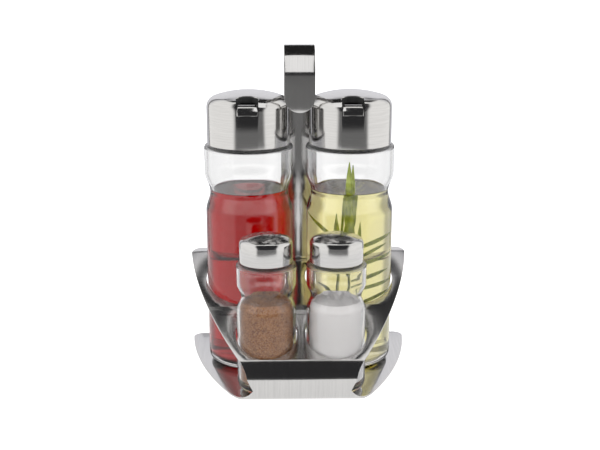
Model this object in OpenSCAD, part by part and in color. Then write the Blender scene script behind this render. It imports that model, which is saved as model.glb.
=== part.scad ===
// Cruet set: a folded steel rack with a hook handle, two pouring bottles and two shakers.
// Units are millimetres. +Z is up and the front faces -Y. The origin is on the table,
// under the middle of the rack's box.

/* [Rack sheet] */
// Thickness of the folded sheet
sheet_t = 1.2; // [0.8:0.1:1.6]
// Depth of the rack, from the front of the fold to the back edge
rack_depth = 130; // [128:1:134]
// Outside radius of the front fold
fold_r = 15.25; // [14.5:0.25:16]
// Slope of the upper shelf where it leaves the fold, in degrees
shelf_slope = 28; // [27:0.5:29]
// Radius of the upper shelf's gentle arch
shelf_arch_r = 450; // [430:10:480]
// Distance from the back edge of the bottom plate to that of the shelf
shelf_setback = 7; // [5:1:9]
// Radius of the curved sides, seen from above
side_r = 252; // [245:1:260]
// Half width where the curved sides are cut level with the shelf's middle
side_half_w = 79.4; // [78:0.2:81]
// How far behind the middle of the rack the sides are widest
side_y = 77.8; // [72:1:84]
// Radius of the back corners
corner_r = 7; // [5:0.5:9]
// Half width of the waist at the fold
waist_half_w = 31.5; // [30:0.5:33]
// Clearance between a vessel and its hole in the shelf
hole_gap = 0.9; // [0.8:0.1:1.2]

/* [Handle] */
// Width of the handle strip
strip_w = 20.5; // [18:0.5:20.5]
// Thickness of the handle strip
strip_t = 1.5; // [1:0.1:2]
// Front face of the post
post_y = 39.5; // [39.5:0.5:41]
// Height of the top of the hook
hook_top = 222.8; // [218:1:230]
// Outside radius of the hook's bend
hook_r = 19.25; // [18:0.25:20]
// Height of the rounded tip of the hook
hook_tip = 179.5; // [176:1:190]
// Length of the foot flange on the shelf
flange_l = 15; // [13:1:16]
// Radius of a rivet's shank
rivet_r = 1.5; // [1:0.25:2]

/* [Bottles] */
// Distance of a bottle's axis from the middle
bottle_x = 34.7; // [34.5:0.1:35.5]
// How far behind the middle the bottles stand
bottle_y = 20; // [19:0.5:20]
// Radius of a bottle's body
bottle_r = 29.8; // [29:0.1:30]
// Radius of the bulge above the waist
bottle_bulge_r = 30.35; // [29:0.05:30.4]
// Radius of the waist
bottle_waist_r = 26.8; // [25:0.1:28]
// Height of the waist
bottle_waist_z = 123.5; // [118:0.5:126]
// Height of the ledge that the cap sits on
bottle_ledge_z = 156.2; // [150:0.2:160]
// Thickness of the bottle's wall
bottle_wall = 2.4; // [1.8:0.1:2.6]
// Outside radius of the bottle's neck
bottle_neck_r = 24; // [22:0.5:24]
// Height of the neck above the ledge
bottle_neck_h = 17.8; // [14:0.2:18]
// Level of the vinegar and of the oil
liquid_z = 125; // [60:1:130]

/* [Bottle caps] */
// Outside radius of a bottle cap
cap_r = 28.2; // [28:0.1:29]
// Height of the straight side above the ledge
cap_side_h = 25.4; // [24:0.2:28]
// Radius of the cap's shoulder
cap_shoulder_r = 7.6; // [6:0.2:8]
// Slope of the crown where it meets the shoulder, in degrees
cap_crown_slope = 18.7; // [16:0.1:21]
// Thickness of the steel caps
cap_t = 0.6; // [0.5:0.1:0.8]
// Width of the pouring window
window_w = 14.8; // [12:0.2:16]
// Height of the window's sill above the ledge
window_sill_h = 22.8; // [21:0.2:24]
// Distance of the window's arch from the cap's axis
window_reach = 16.6; // [15:0.2:18]

/* [Shakers] */
// Distance of a shaker's axis from the middle
shaker_x = 22.9; // [22.5:0.1:23.5]
// How far in front of the middle the shakers stand
shaker_y = 35.9; // [35.5:0.1:36.5]
// Radius of a shaker's body
shaker_r = 19.6; // [19:0.1:19.6]
// Radius of the waist
shaker_waist_r = 16.7; // [16:0.1:18]
// Height of the waist
shaker_waist_z = 66; // [62:0.5:68]
// Height of the ledge that the cap sits on
shaker_ledge_z = 88.9; // [86:0.1:92]
// Thickness of the shaker's wall
shaker_wall = 2; // [1.5:0.1:2.5]
// Outside radius of the shaker's neck
shaker_neck_r = 14.2; // [13:0.1:14.4]
// Height of the neck above the ledge
shaker_neck_h = 9.6; // [8:0.2:10]
// Level of the salt and of the pepper
grain_z = 63.5; // [30:0.5:70]

/* [Shaker caps] */
// Outside radius of a shaker cap
shaker_cap_r = 17.4; // [17:0.1:18]
// Height of the straight side above the ledge
shaker_cap_side_h = 12.2; // [11:0.2:13]
// Radius of the cap's shoulder
shaker_cap_shoulder_r = 3.9; // [3:0.1:5]
// Slope of the crown where it meets the shoulder, in degrees
shaker_cap_crown_slope = 24.6; // [20:0.2:28]
// Radius of a sprinkling hole
sprinkle_r = 0.8; // [0.6:0.1:1]
// Radius of the ring of sprinkling holes
sprinkle_ring_r = 4.4; // [4:0.2:6]
// Number of holes in the ring
sprinkle_n = 6; // [5:1:8]

/* [Hidden] */
$fn = 96;
far = 400;

// The fold: its axis, and the joint of the fold and the shelf.
fold_y = fold_r - rack_depth / 2;
fold_z = fold_r;
shelf_start_y = fold_y - fold_r * sin(shelf_slope);
shelf_start_z = fold_z + fold_r * cos(shelf_slope);
arch_y = shelf_start_y + shelf_arch_r * sin(shelf_slope);
arch_z = shelf_start_z - shelf_arch_r * cos(shelf_slope);
shelf_back_y = rack_depth / 2 - shelf_setback;

// The waist line lies on the fold, below its foremost point.
waist_angle = 20;
waist_y = fold_y - fold_r * cos(waist_angle);
waist_z = fold_z - fold_r * sin(waist_angle);
// Where the curved sides start, in degrees about their centres, ahead of the fold.
side_start = -40;
// Tilt of each flare's cutting direction, and how much the half width gains per millimetre.
shelf_flare_tilt = 59.8;
shelf_flare_gain = 0.558;
plate_flare_tilt = -14.4;
plate_flare_gain = 0.771;

// The hook's bend turns about this line.
hook_y = post_y + strip_t - hook_r;
hook_z = hook_top - hook_r;

// Clearance between a shaker and its hole.
shaker_hole_gap = 0.8 * hole_gap;

// The rivets stand square to the shelf.
rivet_x = 5.5;
rivet_y = post_y + strip_t + 8;
rivet_lean = asin((arch_y - rivet_y) / shelf_arch_r);
rivet_head_r = 3;
rivet_head_h = 1;

// Heights and radii inside the vessels.
bottle_base_t = 5;
bottle_base_fillet = 6;
shaker_base_t = 4.5;
shaker_base_fillet = 6.5;
waist_spread = 13.5;
shaker_waist_spread = 9;
ledge_round = 2.8;
// Depth of the hollow under a foot, how far its edge stays inside the body's radius, and
// how much narrower its cone is at twice that depth.
foot_hollow = 1.2;
foot_rim = 9;
foot_hollow_run = 4;
bottle_neck_z = bottle_ledge_z + bottle_neck_h;
shaker_neck_z = shaker_ledge_z + shaker_neck_h;

// The pouring window: its sill, the rounding of its arch, and the ramp that is pressed
// in from the sill and curves back over the slot.
sill_z = bottle_ledge_z + window_sill_h;
window_arch_r = 14;
ramp_r = 7;
ramp_w = 9.6;
ramp_foot_y = 0.2 - cap_r;

// Fits between the caps and the necks.
cap_lift_gap = 0.2;
neck_fit = 0.1;
seal_t = 1.2;
web_t = 1.6;
seal_gap = 0.05;
seal_overhang = 0.4;
web_z = bottle_neck_z + seal_gap + seal_t;

// The sprig of herb in the oil.
stem_foot_z = sheet_t + bottle_base_t + 6;
stem_l = 112;
stem_r = 0.9;
leaf_n = 8;
leaf_pitch = 12.7;
leaf_turn = 137;
leaf_lean = 40;
leaf_t = 0.4;

// Points of an arc about [x, y] from angle a0 to a1.
function arc(x, y, r, a0, a1, n = 8) =
    [for (i = [0:n]) let (a = a0 + (a1 - a0) * i / n) [x + r * cos(a), y + r * sin(a)]];

// Points of a smooth waist: a cosine dip from r0 to rw and back out to r1.
function dip(z, spread, r0, rw, r1, n = 10) = concat(
    [for (i = [0:n]) let (u = i / n) [rw + (r0 - rw) * (1 + cos(180 * u)) / 2, z - spread * (1 - u)]],
    [for (i = [1:n]) let (u = i / n) [rw + (r1 - rw) * (1 - cos(180 * u)) / 2, z + spread * u]]);

// Half outline of a vessel from its foot to its ledge, drawn in by w at the sides.
function vessel_side(w, foot_z, fillet, body_r, waist_z, spread, waist_r, bulge_r, ledge_z) = concat(
    arc(body_r - fillet, foot_z + fillet, fillet - w, -90, 0),
    dip(waist_z, spread, body_r - w, waist_r - w, bulge_r - w),
    arc(bulge_r - ledge_round, ledge_z - ledge_round, ledge_round - w, 0, 90));

// Half outline of a domed cap, z from the top of its straight side.
function dome(r, shoulder, slope, n = 12) =
    let (rim = r - shoulder + shoulder * sin(slope), big = rim / sin(slope))
    concat(
        arc(r - shoulder, 0, shoulder, 0, 90 - slope),
        [for (i = [1:n]) let (a = slope * (1 - i / n))
            [big * sin(a), shoulder * cos(slope) + big * (cos(a) - cos(slope))]]);

// Height of the shelf's top face at a distance y from the middle.
function shelf_top(y) = arch_z + sqrt(shelf_arch_r * shelf_arch_r - (arch_y - y) * (arch_y - y));

// ---- Rack ----

// Right edge of the sheet seen from above: a long curve, then the rounded back corner.
function right_edge(back_y) =
    let (
        centre_x = side_half_w - side_r,
        turn = asin((back_y - corner_r - side_y) / (side_r - corner_r)),
        corner_x = centre_x + (side_r - corner_r) * cos(turn)
    )
    concat(
        arc(centre_x, side_y, side_r, side_start, turn, 32),
        arc(corner_x, back_y - corner_r, corner_r, turn, 90, 10));

// Outline of the sheet seen from above, cut straight at the back.
module plan_outline(back_y) {
    edge = right_edge(back_y);
    polygon(concat(edge, [for (i = [len(edge) - 1:-1:0]) [-edge[i][0], edge[i][1]]]));
}

// Everything between two flaring sides that start from the waist line.
module flare(tilt, gain) {
    translate([0, waist_y, waist_z]) rotate([tilt, 0, 0])
        linear_extrude(height = far, center = true)
            polygon([
                [-waist_half_w, 0], [waist_half_w, 0],
                [waist_half_w + gain * far, far], [-waist_half_w - gain * far, far]
            ]);
}

// A profile in the Y-Z plane, swept across the rack.
module across(width) {
    rotate([90, 0, 90]) linear_extrude(height = width, center = true) children();
}

// The fold between two angles, as a profile.
module fold_profile(a0, a1) {
    intersection() {
        translate([fold_y, fold_z]) difference() {
            circle(r = fold_r);
            circle(r = fold_r - sheet_t);
        }
        translate([fold_y, fold_z])
            polygon(concat([[0, 0]], arc(0, 0, 2 * fold_r, a0, a1, 6)));
    }
}

// The arched shelf, as a profile.
module shelf_profile() {
    intersection() {
        translate([arch_y, arch_z]) difference() {
            circle(r = shelf_arch_r, $fn = 360);
            circle(r = shelf_arch_r - sheet_t, $fn = 360);
        }
        polygon([
            [arch_y, arch_z],
            [arch_y, arch_z + 2 * (shelf_start_z - arch_z)],
            [arch_y - 2 * (arch_y - shelf_start_y), arch_z + 2 * (shelf_start_z - arch_z)]
        ]);
    }
}

module rack_sheet() {
    color("silver") difference() {
        union() {
            intersection() {
                across(far) {
                    fold_profile(180 + waist_angle, 270);
                    translate([fold_y, 0]) square([far, sheet_t]);
                }
                linear_extrude(height = far) plan_outline(rack_depth / 2);
                flare(plate_flare_tilt, plate_flare_gain);
            }
            intersection() {
                across(far) {
                    fold_profile(90 + shelf_slope, 180 + waist_angle);
                    shelf_profile();
                }
                linear_extrude(height = far) plan_outline(shelf_back_y);
                flare(shelf_flare_tilt, shelf_flare_gain);
            }
        }
        for (side = [-1, 1]) {
            translate([side * bottle_x, bottle_y, fold_r])
                cylinder(r = bottle_r + hole_gap, h = far);
            translate([side * shaker_x, -shaker_y, fold_r])
                cylinder(r = shaker_r + shaker_hole_gap, h = far);
        }
        rivet_places() cylinder(r = rivet_r, h = 20, center = true);
    }
}

module handle_strip() {
    color("silver") difference() {
        intersection() {
            across(strip_w) {
                // Bend, with its post and its front leg.
                intersection() {
                    translate([hook_y, hook_z]) difference() {
                        circle(r = hook_r);
                        circle(r = hook_r - strip_t);
                    }
                    translate([-far / 2, hook_z]) square([far, far]);
                }
                translate([post_y, 0]) square([strip_t, hook_z]);
                translate([hook_y - hook_r, hook_tip]) square([strip_t, hook_z - hook_tip]);
                // Flange that follows the shelf.
                intersection() {
                    translate([arch_y, arch_z]) circle(r = shelf_arch_r + strip_t, $fn = 360);
                    translate([post_y, 0]) square([strip_t + flange_l, far]);
                }
            }
            // The front leg ends in a half circle.
            union() {
                translate([0, post_y, 0]) cube([far, 2 * hook_r, far * 2], center = true);
                rotate([90, 0, 0]) linear_extrude(height = far, center = true) {
                    translate([0, hook_tip + strip_w / 2]) circle(r = strip_w / 2);
                    translate([-strip_w / 2, hook_tip + strip_w / 2]) square([strip_w, far]);
                }
            }
        }
        // Seat on the shelf.
        across(far) translate([arch_y, arch_z]) circle(r = shelf_arch_r, $fn = 360);
        rivet_places() cylinder(r = rivet_r, h = 20, center = true);
    }
}

// Places children on the shelf's top face, square to it, at both rivets.
module rivet_places() {
    for (side = [-1, 1])
        translate([side * rivet_x, rivet_y, shelf_top(rivet_y)])
            rotate([rivet_lean, 0, 0]) children();
}

module handle_rivets() {
    color("gainsboro") rivet_places() {
        translate([0, 0, -sheet_t - rivet_head_h])
            cylinder(r = rivet_r, h = sheet_t + strip_t + 2 * rivet_head_h);
        translate([0, 0, strip_t]) cylinder(r = rivet_head_r, h = rivet_head_h);
        translate([0, 0, -sheet_t - rivet_head_h]) cylinder(r = rivet_head_r, h = rivet_head_h);
    }
}

// ---- Vessels ----

// Places a bottle: side is -1 for the vinegar, 1 for the oil.
module at_bottle(side) { translate([side * bottle_x, bottle_y, 0]) children(); }

// Places a shaker: side is -1 for the pepper, 1 for the salt.
module at_shaker(side) { translate([side * shaker_x, -shaker_y, 0]) children(); }

// Height at which a side outline ends.
function end_z(points) = points[len(points) - 1][1];

// Space inside a vessel up to a level.
module vessel_space(side_points, floor_z, neck_r, level) {
    rotate_extrude() intersection() {
        polygon(concat([[0, floor_z]], side_points, [[neck_r, end_z(side_points)], [neck_r, far], [0, far]]));
        translate([0, floor_z]) square([far, level - floor_z]);
    }
}

module bottle_space(level) {
    vessel_space(
        vessel_side(bottle_wall, sheet_t + bottle_base_t - bottle_wall, bottle_base_fillet, bottle_r,
            bottle_waist_z, waist_spread, bottle_waist_r, bottle_bulge_r, bottle_ledge_z),
        sheet_t + bottle_base_t, bottle_neck_r - bottle_wall, level);
}

module shaker_space(level) {
    vessel_space(
        vessel_side(shaker_wall, sheet_t + shaker_base_t - shaker_wall, shaker_base_fillet, shaker_r,
            shaker_waist_z, shaker_waist_spread, shaker_waist_r, shaker_r, shaker_ledge_z),
        sheet_t + shaker_base_t, shaker_neck_r - shaker_wall, level);
}

// A glass body: outside shape, less a shallow hollow under the foot.
module glass_outside(side_points, neck_r, neck_z, foot_r) {
    difference() {
        rotate_extrude() polygon(concat(
            [[0, sheet_t]], side_points, [[neck_r, end_z(side_points)], [neck_r, neck_z], [0, neck_z]]));
        translate([0, 0, sheet_t])
            cylinder(r1 = foot_r, r2 = foot_r - foot_hollow_run, h = 2 * foot_hollow, center = true);
    }
}

module bottle() {
    color("azure", 0.4) difference() {
        glass_outside(
            vessel_side(0, sheet_t, bottle_base_fillet, bottle_r, bottle_waist_z, waist_spread,
                bottle_waist_r, bottle_bulge_r, bottle_ledge_z),
            bottle_neck_r, bottle_neck_z, bottle_r - foot_rim);
        bottle_space(bottle_neck_z + 1);
    }
}

module shaker() {
    color("azure", 0.4) difference() {
        glass_outside(
            vessel_side(0, sheet_t, shaker_base_fillet, shaker_r, shaker_waist_z,
                shaker_waist_spread, shaker_waist_r, shaker_r, shaker_ledge_z),
            shaker_neck_r, shaker_neck_z, shaker_r - foot_rim);
        shaker_space(shaker_neck_z + 1);
    }
}

module vinegar_bottle() { at_bottle(-1) bottle(); }
module oil_bottle() { at_bottle(1) bottle(); }
module pepper_shaker() { at_shaker(-1) shaker(); }
module salt_shaker() { at_shaker(1) shaker(); }

// ---- Contents ----

module vinegar() { color("firebrick") at_bottle(-1) bottle_space(liquid_z); }
module oil() {
    color("palegoldenrod", 0.7) difference() {
        at_bottle(1) bottle_space(liquid_z);
        herb_solids();
    }
}
module pepper() { color("saddlebrown") at_shaker(-1) shaker_space(grain_z); }
module salt() { color("white") at_shaker(1) shaker_space(grain_z); }

// A narrow leaf: where two circles cross, standing up from its stalk end.
module leaf(length, width) {
    r = (length * length + width * width) / (4 * width);
    rotate([90, 0, 0]) linear_extrude(height = leaf_t, center = true)
        translate([0, length / 2]) intersection() {
            translate([r - width / 2, 0]) circle(r = r);
            translate([width / 2 - r, 0]) circle(r = r);
        }
}

// A sprig: one stem, with leaves that turn around it as they climb and one at its tip.
module herb_solids() {
    at_bottle(1) translate([0, 0, stem_foot_z]) {
        cylinder(r = stem_r, h = stem_l);
        for (i = [0:leaf_n - 1]) translate([0, 0, leaf_pitch * (i + 1)])
            rotate([0, 0, leaf_turn * (i + 0.5)]) rotate([0, leaf_lean, 0]) leaf(24, 3.2);
        translate([0, 0, stem_l - 4]) leaf(26, 4);
    }
}

module herb_sprig() { color("olivedrab") herb_solids(); }

// ---- Bottle caps ----

// Outline of a domed cup, drawn in by w.
module cup_outline(w, r, side_h, shoulder, slope, foot_z, ledge_z) {
    polygon(concat(
        [[0, foot_z], [r - w, foot_z]],
        [for (p = dome(r, shoulder, slope))
            let (flat_r = r - shoulder, shrink = (shoulder - w) / shoulder)
            p[0] > flat_r
                ? [flat_r + (p[0] - flat_r) * shrink, ledge_z + side_h + p[1] * shrink]
                : [p[0], ledge_z + side_h + p[1] - w]]));
}

module bottle_cup(w, foot_z) {
    rotate_extrude() cup_outline(w, cap_r, cap_side_h, cap_shoulder_r, cap_crown_slope, foot_z,
        bottle_ledge_z);
}

// Window at the cap's top front edge, open to the front, arched over the crown.
module pouring_window(grow, foot_z) {
    half_w = window_w / 2 + grow;
    translate([0, 0, foot_z]) linear_extrude(height = far) intersection() {
        translate([-half_w, -far]) square([2 * half_w, far - window_reach + grow]);
        translate([0, -window_reach + grow - window_arch_r]) {
            circle(r = window_arch_r);
            translate([-far, -far]) square([2 * far, far]);
        }
    }
}

// Ramp pressed in from the window's sill: a curved strip that rises towards the slot.
module pouring_ramp() {
    intersection() {
        across(ramp_w) intersection() {
            translate([ramp_foot_y + ramp_r, sill_z]) difference() {
                circle(r = ramp_r);
                circle(r = ramp_r - cap_t);
            }
            translate([ramp_foot_y, sill_z]) square(ramp_r);
        }
        bottle_cup(0, bottle_ledge_z);
    }
}

module bottle_cap_shell() {
    color("gainsboro") {
        difference() {
            bottle_cup(0, bottle_ledge_z + cap_lift_gap);
            bottle_cup(cap_t, 0);
            pouring_window(0, sill_z);
        }
        pouring_ramp();
    }
}

// Black insert: a skirt that grips the neck, a web over it and the spout's housing.
module pourer() {
    foot_z = bottle_ledge_z + 1;
    housing_w = window_w + 4;
    housing_back_y = 5 - window_reach;
    pocket_back_y = -window_reach - 1;
    pocket_wall = 0.6;
    slot = [10, 4.5, 30];
    air_hole_r = 1.2;
    air_hole_y = 14;
    color("dimgray") difference() {
        union() {
            translate([0, 0, foot_z]) cylinder(r = cap_r - cap_t, h = web_z + web_t - foot_z);
            intersection() {
                bottle_cup(cap_t, 0);
                translate([-housing_w / 2, housing_back_y - far, web_z]) cube([housing_w, far, far]);
            }
        }
        // Bore that slides over the neck.
        cylinder(r = bottle_neck_r + neck_fit, h = web_z);
        // Pocket behind the window, round the ramp.
        difference() {
            pouring_window(-pocket_wall, sill_z - 1);
            translate([-far / 2, pocket_back_y, 0]) cube([far, far, far]);
        }
        // Pouring slot from the bottle to the pocket.
        translate([-slot[0] / 2, pocket_back_y - 1, bottle_ledge_z]) cube(slot);
        // Air hole at the back.
        translate([0, air_hole_y, 0]) cylinder(r = air_hole_r, h = far);
    }
}

module neck_seal() {
    color("whitesmoke") translate([0, 0, bottle_neck_z + seal_gap]) difference() {
        cylinder(r = bottle_neck_r, h = seal_t);
        cylinder(r = bottle_neck_r - bottle_wall - seal_overhang, h = seal_t);
    }
}

module vinegar_cap_shell() { at_bottle(-1) bottle_cap_shell(); }
module vinegar_pourer() { at_bottle(-1) pourer(); }
module vinegar_neck_seal() { at_bottle(-1) neck_seal(); }
module oil_cap_shell() { at_bottle(1) bottle_cap_shell(); }
module oil_pourer() { at_bottle(1) pourer(); }
module oil_neck_seal() { at_bottle(1) neck_seal(); }

// ---- Shaker caps ----

module shaker_cup(w, foot_z) {
    rotate_extrude() cup_outline(w, shaker_cap_r, shaker_cap_side_h, shaker_cap_shoulder_r,
        shaker_cap_crown_slope, foot_z, shaker_ledge_z);
}

module shaker_cap_shell() {
    color("gainsboro") difference() {
        shaker_cup(0, shaker_ledge_z + cap_lift_gap);
        shaker_cup(cap_t, 0);
        cylinder(r = sprinkle_r, h = far);
        for (i = [0:sprinkle_n - 1]) rotate([0, 0, 360 * i / sprinkle_n])
            translate([sprinkle_ring_r, 0, 0]) cylinder(r = sprinkle_r, h = far);
    }
}

module shaker_cap_insert() {
    foot_z = shaker_ledge_z + 1;
    top_z = shaker_neck_z + 1.7;
    color("whitesmoke") difference() {
        translate([0, 0, foot_z]) cylinder(r = shaker_cap_r - cap_t, h = top_z - foot_z);
        cylinder(r = shaker_neck_r + neck_fit, h = shaker_neck_z + 0.2);
        cylinder(r = shaker_neck_r - shaker_wall - 1.5, h = far);
    }
}

module pepper_cap_shell() { at_shaker(-1) shaker_cap_shell(); }
module pepper_cap_insert() { at_shaker(-1) shaker_cap_insert(); }
module salt_cap_shell() { at_shaker(1) shaker_cap_shell(); }
module salt_cap_insert() { at_shaker(1) shaker_cap_insert(); }

rack_sheet();
handle_strip();
handle_rivets();
vinegar_bottle();
vinegar();
vinegar_cap_shell();
vinegar_pourer();
vinegar_neck_seal();
oil_bottle();
oil();
herb_sprig();
oil_cap_shell();
oil_pourer();
oil_neck_seal();
pepper_shaker();
pepper();
pepper_cap_shell();
pepper_cap_insert();
salt_shaker();
salt();
salt_cap_shell();
salt_cap_insert();
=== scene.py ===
"""Looks of a cruet set: a folded steel rack, two pouring bottles, two shakers, and what they hold.

Lengths are written in millimetres and turned into metres by MM. The frame gives every place: +Z is up
and the front faces -Y.
"""

import logging
import math
from dataclasses import dataclass
from enum import Enum
from functools import cache
from typing import Callable, Iterable, Sequence

import bmesh
import bpy
from mathutils import Matrix, Vector, noise

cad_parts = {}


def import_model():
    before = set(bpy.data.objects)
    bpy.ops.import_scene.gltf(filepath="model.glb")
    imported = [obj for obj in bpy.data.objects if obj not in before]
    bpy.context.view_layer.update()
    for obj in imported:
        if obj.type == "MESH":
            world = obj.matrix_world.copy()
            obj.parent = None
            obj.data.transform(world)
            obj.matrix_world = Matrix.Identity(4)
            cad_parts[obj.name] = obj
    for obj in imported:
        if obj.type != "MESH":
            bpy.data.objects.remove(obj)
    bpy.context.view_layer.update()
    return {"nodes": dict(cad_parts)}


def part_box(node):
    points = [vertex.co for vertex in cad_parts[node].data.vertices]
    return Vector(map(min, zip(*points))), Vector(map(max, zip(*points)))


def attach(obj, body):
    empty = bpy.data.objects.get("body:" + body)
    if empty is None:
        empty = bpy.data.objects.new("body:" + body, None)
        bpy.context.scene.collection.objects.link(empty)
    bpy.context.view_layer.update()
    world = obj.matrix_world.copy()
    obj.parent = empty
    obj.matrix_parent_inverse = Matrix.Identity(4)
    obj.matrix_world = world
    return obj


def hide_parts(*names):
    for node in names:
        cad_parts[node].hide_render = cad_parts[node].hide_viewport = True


MM = 0.001
LOG = logging.getLogger("cruet_set")
BOTTLE_RADIUS = 29.8
SHAKER_RADIUS = 19.6
BOTTLE_LEDGE_Z = 156.2
SHAKER_LEDGE_Z = 88.9
HOLE_RADIUS = {
    "vinegar_bottle": BOTTLE_RADIUS + 0.9,
    "oil_bottle": BOTTLE_RADIUS + 0.9,
    "pepper_shaker": SHAKER_RADIUS + 0.72,
    "salt_shaker": SHAKER_RADIUS + 0.72,
}
SHARP = 35.0
CAP_SHARP = 42.0
CLEAR_SPECULAR = 0.2
STEEL_ROUGHNESS = 0.13
RAYS = ("camera", "diffuse", "glossy", "transmission", "volume_scatter", "shadow")

Point2 = tuple[float, float]
Colour = tuple[float, float, float]


# ---- Shader maths ----


class Sock:
    """A shader socket that can be written in an expression, such as 1 - mask * 0.5."""

    def __init__(self, tree: bpy.types.NodeTree, socket: bpy.types.NodeSocket) -> None:
        """Wraps one output socket of a node tree."""
        self.tree = tree
        self.socket = socket

    def _math(self, operation: str, *values: "Sock | float") -> "Sock":
        """Adds a Math node.

        Args:
            operation: The node's operation.
            values: Its inputs in order.

        Returns:
            The node's result.
        """
        node = self.tree.nodes.new("ShaderNodeMath")
        node.operation = operation
        for place, value in zip(node.inputs, values):
            if isinstance(value, Sock):
                self.tree.links.new(value.socket, place)
            else:
                place.default_value = value
        return Sock(self.tree, node.outputs[0])

    def __add__(self, other: "Sock | float") -> "Sock":
        """Sum."""
        return self._math("ADD", self, other)

    __radd__ = __add__

    def __mul__(self, other: "Sock | float") -> "Sock":
        """Product."""
        return self._math("MULTIPLY", self, other)

    __rmul__ = __mul__

    def __sub__(self, other: "Sock | float") -> "Sock":
        """Difference."""
        return self._math("SUBTRACT", self, other)

    def __rsub__(self, other: float) -> "Sock":
        """Difference from a number."""
        return self._math("SUBTRACT", other, self)

    def __truediv__(self, other: "Sock | float") -> "Sock":
        """Quotient."""
        return self._math("DIVIDE", self, other)

    def root(self) -> "Sock":
        """Square root."""
        return self._math("SQRT", self)

    def size(self) -> "Sock":
        """Absolute value."""
        return self._math("ABSOLUTE", self)

    def angle(self, across: "Sock") -> "Sock":
        """Angle in radians of the direction (across, self)."""
        return self._math("ARCTAN2", self, across)

    def most(self, other: "Sock | float") -> "Sock":
        """The larger of two values."""
        return self._math("MAXIMUM", self, other)

    def ramp(self, low: float, high: float, to_low: float = 0.0, to_high: float = 1.0) -> "Sock":
        """Smooth step from to_low at low to to_high at high."""
        node = self.tree.nodes.new("ShaderNodeMapRange")
        node.interpolation_type = "SMOOTHSTEP"
        self.tree.links.new(self.socket, node.inputs["Value"])
        for name, value in (("From Min", low), ("From Max", high), ("To Min", to_low), ("To Max", to_high)):
            node.inputs[name].default_value = value
        return Sock(self.tree, node.outputs["Result"])


class Graph:
    """A node tree under construction, for a material or the world."""

    def __init__(self, tree: bpy.types.NodeTree) -> None:
        """Clears the tree."""
        self.tree = tree
        tree.nodes.clear()

    def node(
        self, kind: str, settings: dict | None = None, inputs: dict | None = None, out: str | int = 0
    ) -> Sock:
        """Adds a node.

        Args:
            kind: The node's type.
            settings: Properties that are set before the inputs.
            inputs: Values or sockets by input name or number.
            out: The output that is wanted.

        Returns:
            The wrapped output socket.
        """
        node = self.tree.nodes.new(kind)
        for name, value in (settings or {}).items():
            if name == "stops":
                self._set_stops(node.color_ramp, value)
            else:
                setattr(node, name, value)
        for name, value in (inputs or {}).items():
            if isinstance(value, Sock):
                self.tree.links.new(value.socket, node.inputs[name])
            else:
                node.inputs[name].default_value = value
        return Sock(self.tree, node.outputs[out]) if node.outputs else Sock(self.tree, None)

    @staticmethod
    def _set_stops(ramp: bpy.types.ColorRamp, stops: Sequence[tuple[float, Colour]]) -> None:
        """Gives a colour ramp its stops."""
        while len(ramp.elements) < len(stops):
            ramp.elements.new(0.5)
        for element, (place, colour) in zip(ramp.elements, stops):
            element.position = place
            element.color = (*colour, 1.0)

    def place(self, centre: Vector | None = None, scale: Sequence[float] = (1, 1, 1)) -> Sock:
        """Object coordinates about a centre, scaled."""
        coords = self.node("ShaderNodeTexCoord", out="Object")
        centre = centre or Vector((0, 0, 0))
        shift = [-c * s for c, s in zip(centre, scale)]
        return self.node("ShaderNodeMapping", {}, {"Vector": coords, "Location": shift, "Scale": scale})

    def parts(self, vector: Sock) -> tuple[Sock, Sock, Sock]:
        """The three numbers of a vector."""
        node = self.tree.nodes.new("ShaderNodeSeparateXYZ")
        self.tree.links.new(vector.socket, node.inputs[0])
        return tuple(Sock(self.tree, out) for out in node.outputs)

    def vector(self, x: Sock | float, y: Sock | float, z: Sock | float) -> Sock:
        """A vector from three numbers."""
        return self.node("ShaderNodeCombineXYZ", {}, {0: x, 1: y, 2: z})

    def blend(self, share: Sock | float, low: Sock | Sequence[float], high: Sock | Sequence[float]) -> Sock:
        """Mixes two colours."""
        low = low if isinstance(low, Sock) else (*low, 1.0)
        high = high if isinstance(high, Sock) else (*high, 1.0)
        return self.node("ShaderNodeMix", {"data_type": "RGBA"}, {0: share, 6: low, 7: high}, out=2)

    def noise(self, vector: Sock, scale: float, detail: float = 2.0, roughness: float = 0.5) -> Sock:
        """Noise from 0 to 1."""
        inputs = {"Vector": vector, "Scale": scale, "Detail": detail, "Roughness": roughness}
        return self.node("ShaderNodeTexNoise", {}, inputs)

    def bump(self, height: Sock, strength: float, distance: float) -> Sock:
        """A bumped normal."""
        inputs = {"Height": height, "Strength": strength, "Distance": distance}
        return self.node("ShaderNodeBump", {}, inputs)

    def principled(self, **inputs: Sock | float | Sequence[float]) -> Sock:
        """A Principled surface; an input's name is written with _ for its spaces."""
        named = {name.replace("_", " "): value for name, value in inputs.items()}
        return self.node("ShaderNodeBsdfPrincipled", {}, named)

    def output(self, surface: Sock, volume: Sock | None = None) -> None:
        """Ends the tree."""
        kind = "ShaderNodeOutputMaterial"
        self.node(kind, {}, {"Surface": surface} | ({"Volume": volume} if volume else {}))


# ---- Finishes ----


class Grain(Enum):
    """Which way the brush lines of a steel surface run."""

    ALONG = "along the strip, so they differ from side to side"
    ROUND = "around an upright axis"


@dataclass(frozen=True)
class Finish:
    """A finish: makes one Blender material.

    Attributes:
        name: The material's name.
        slot: The record's material slot; not used.
    """

    name: str
    slot: str = ""

    def shade(self, graph: Graph) -> None:
        """Fills the node tree."""
        raise NotImplementedError

    def material(self) -> bpy.types.Material:
        """The material of this finish, made the first time that it is asked for."""
        return made_material(self)


@cache
def made_material(finish: Finish) -> bpy.types.Material:
    """Makes the material of a finish once."""
    made = bpy.data.materials.new("look_" + finish.name)
    made.use_nodes = True
    finish.shade(Graph(made.node_tree))
    return made


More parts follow.
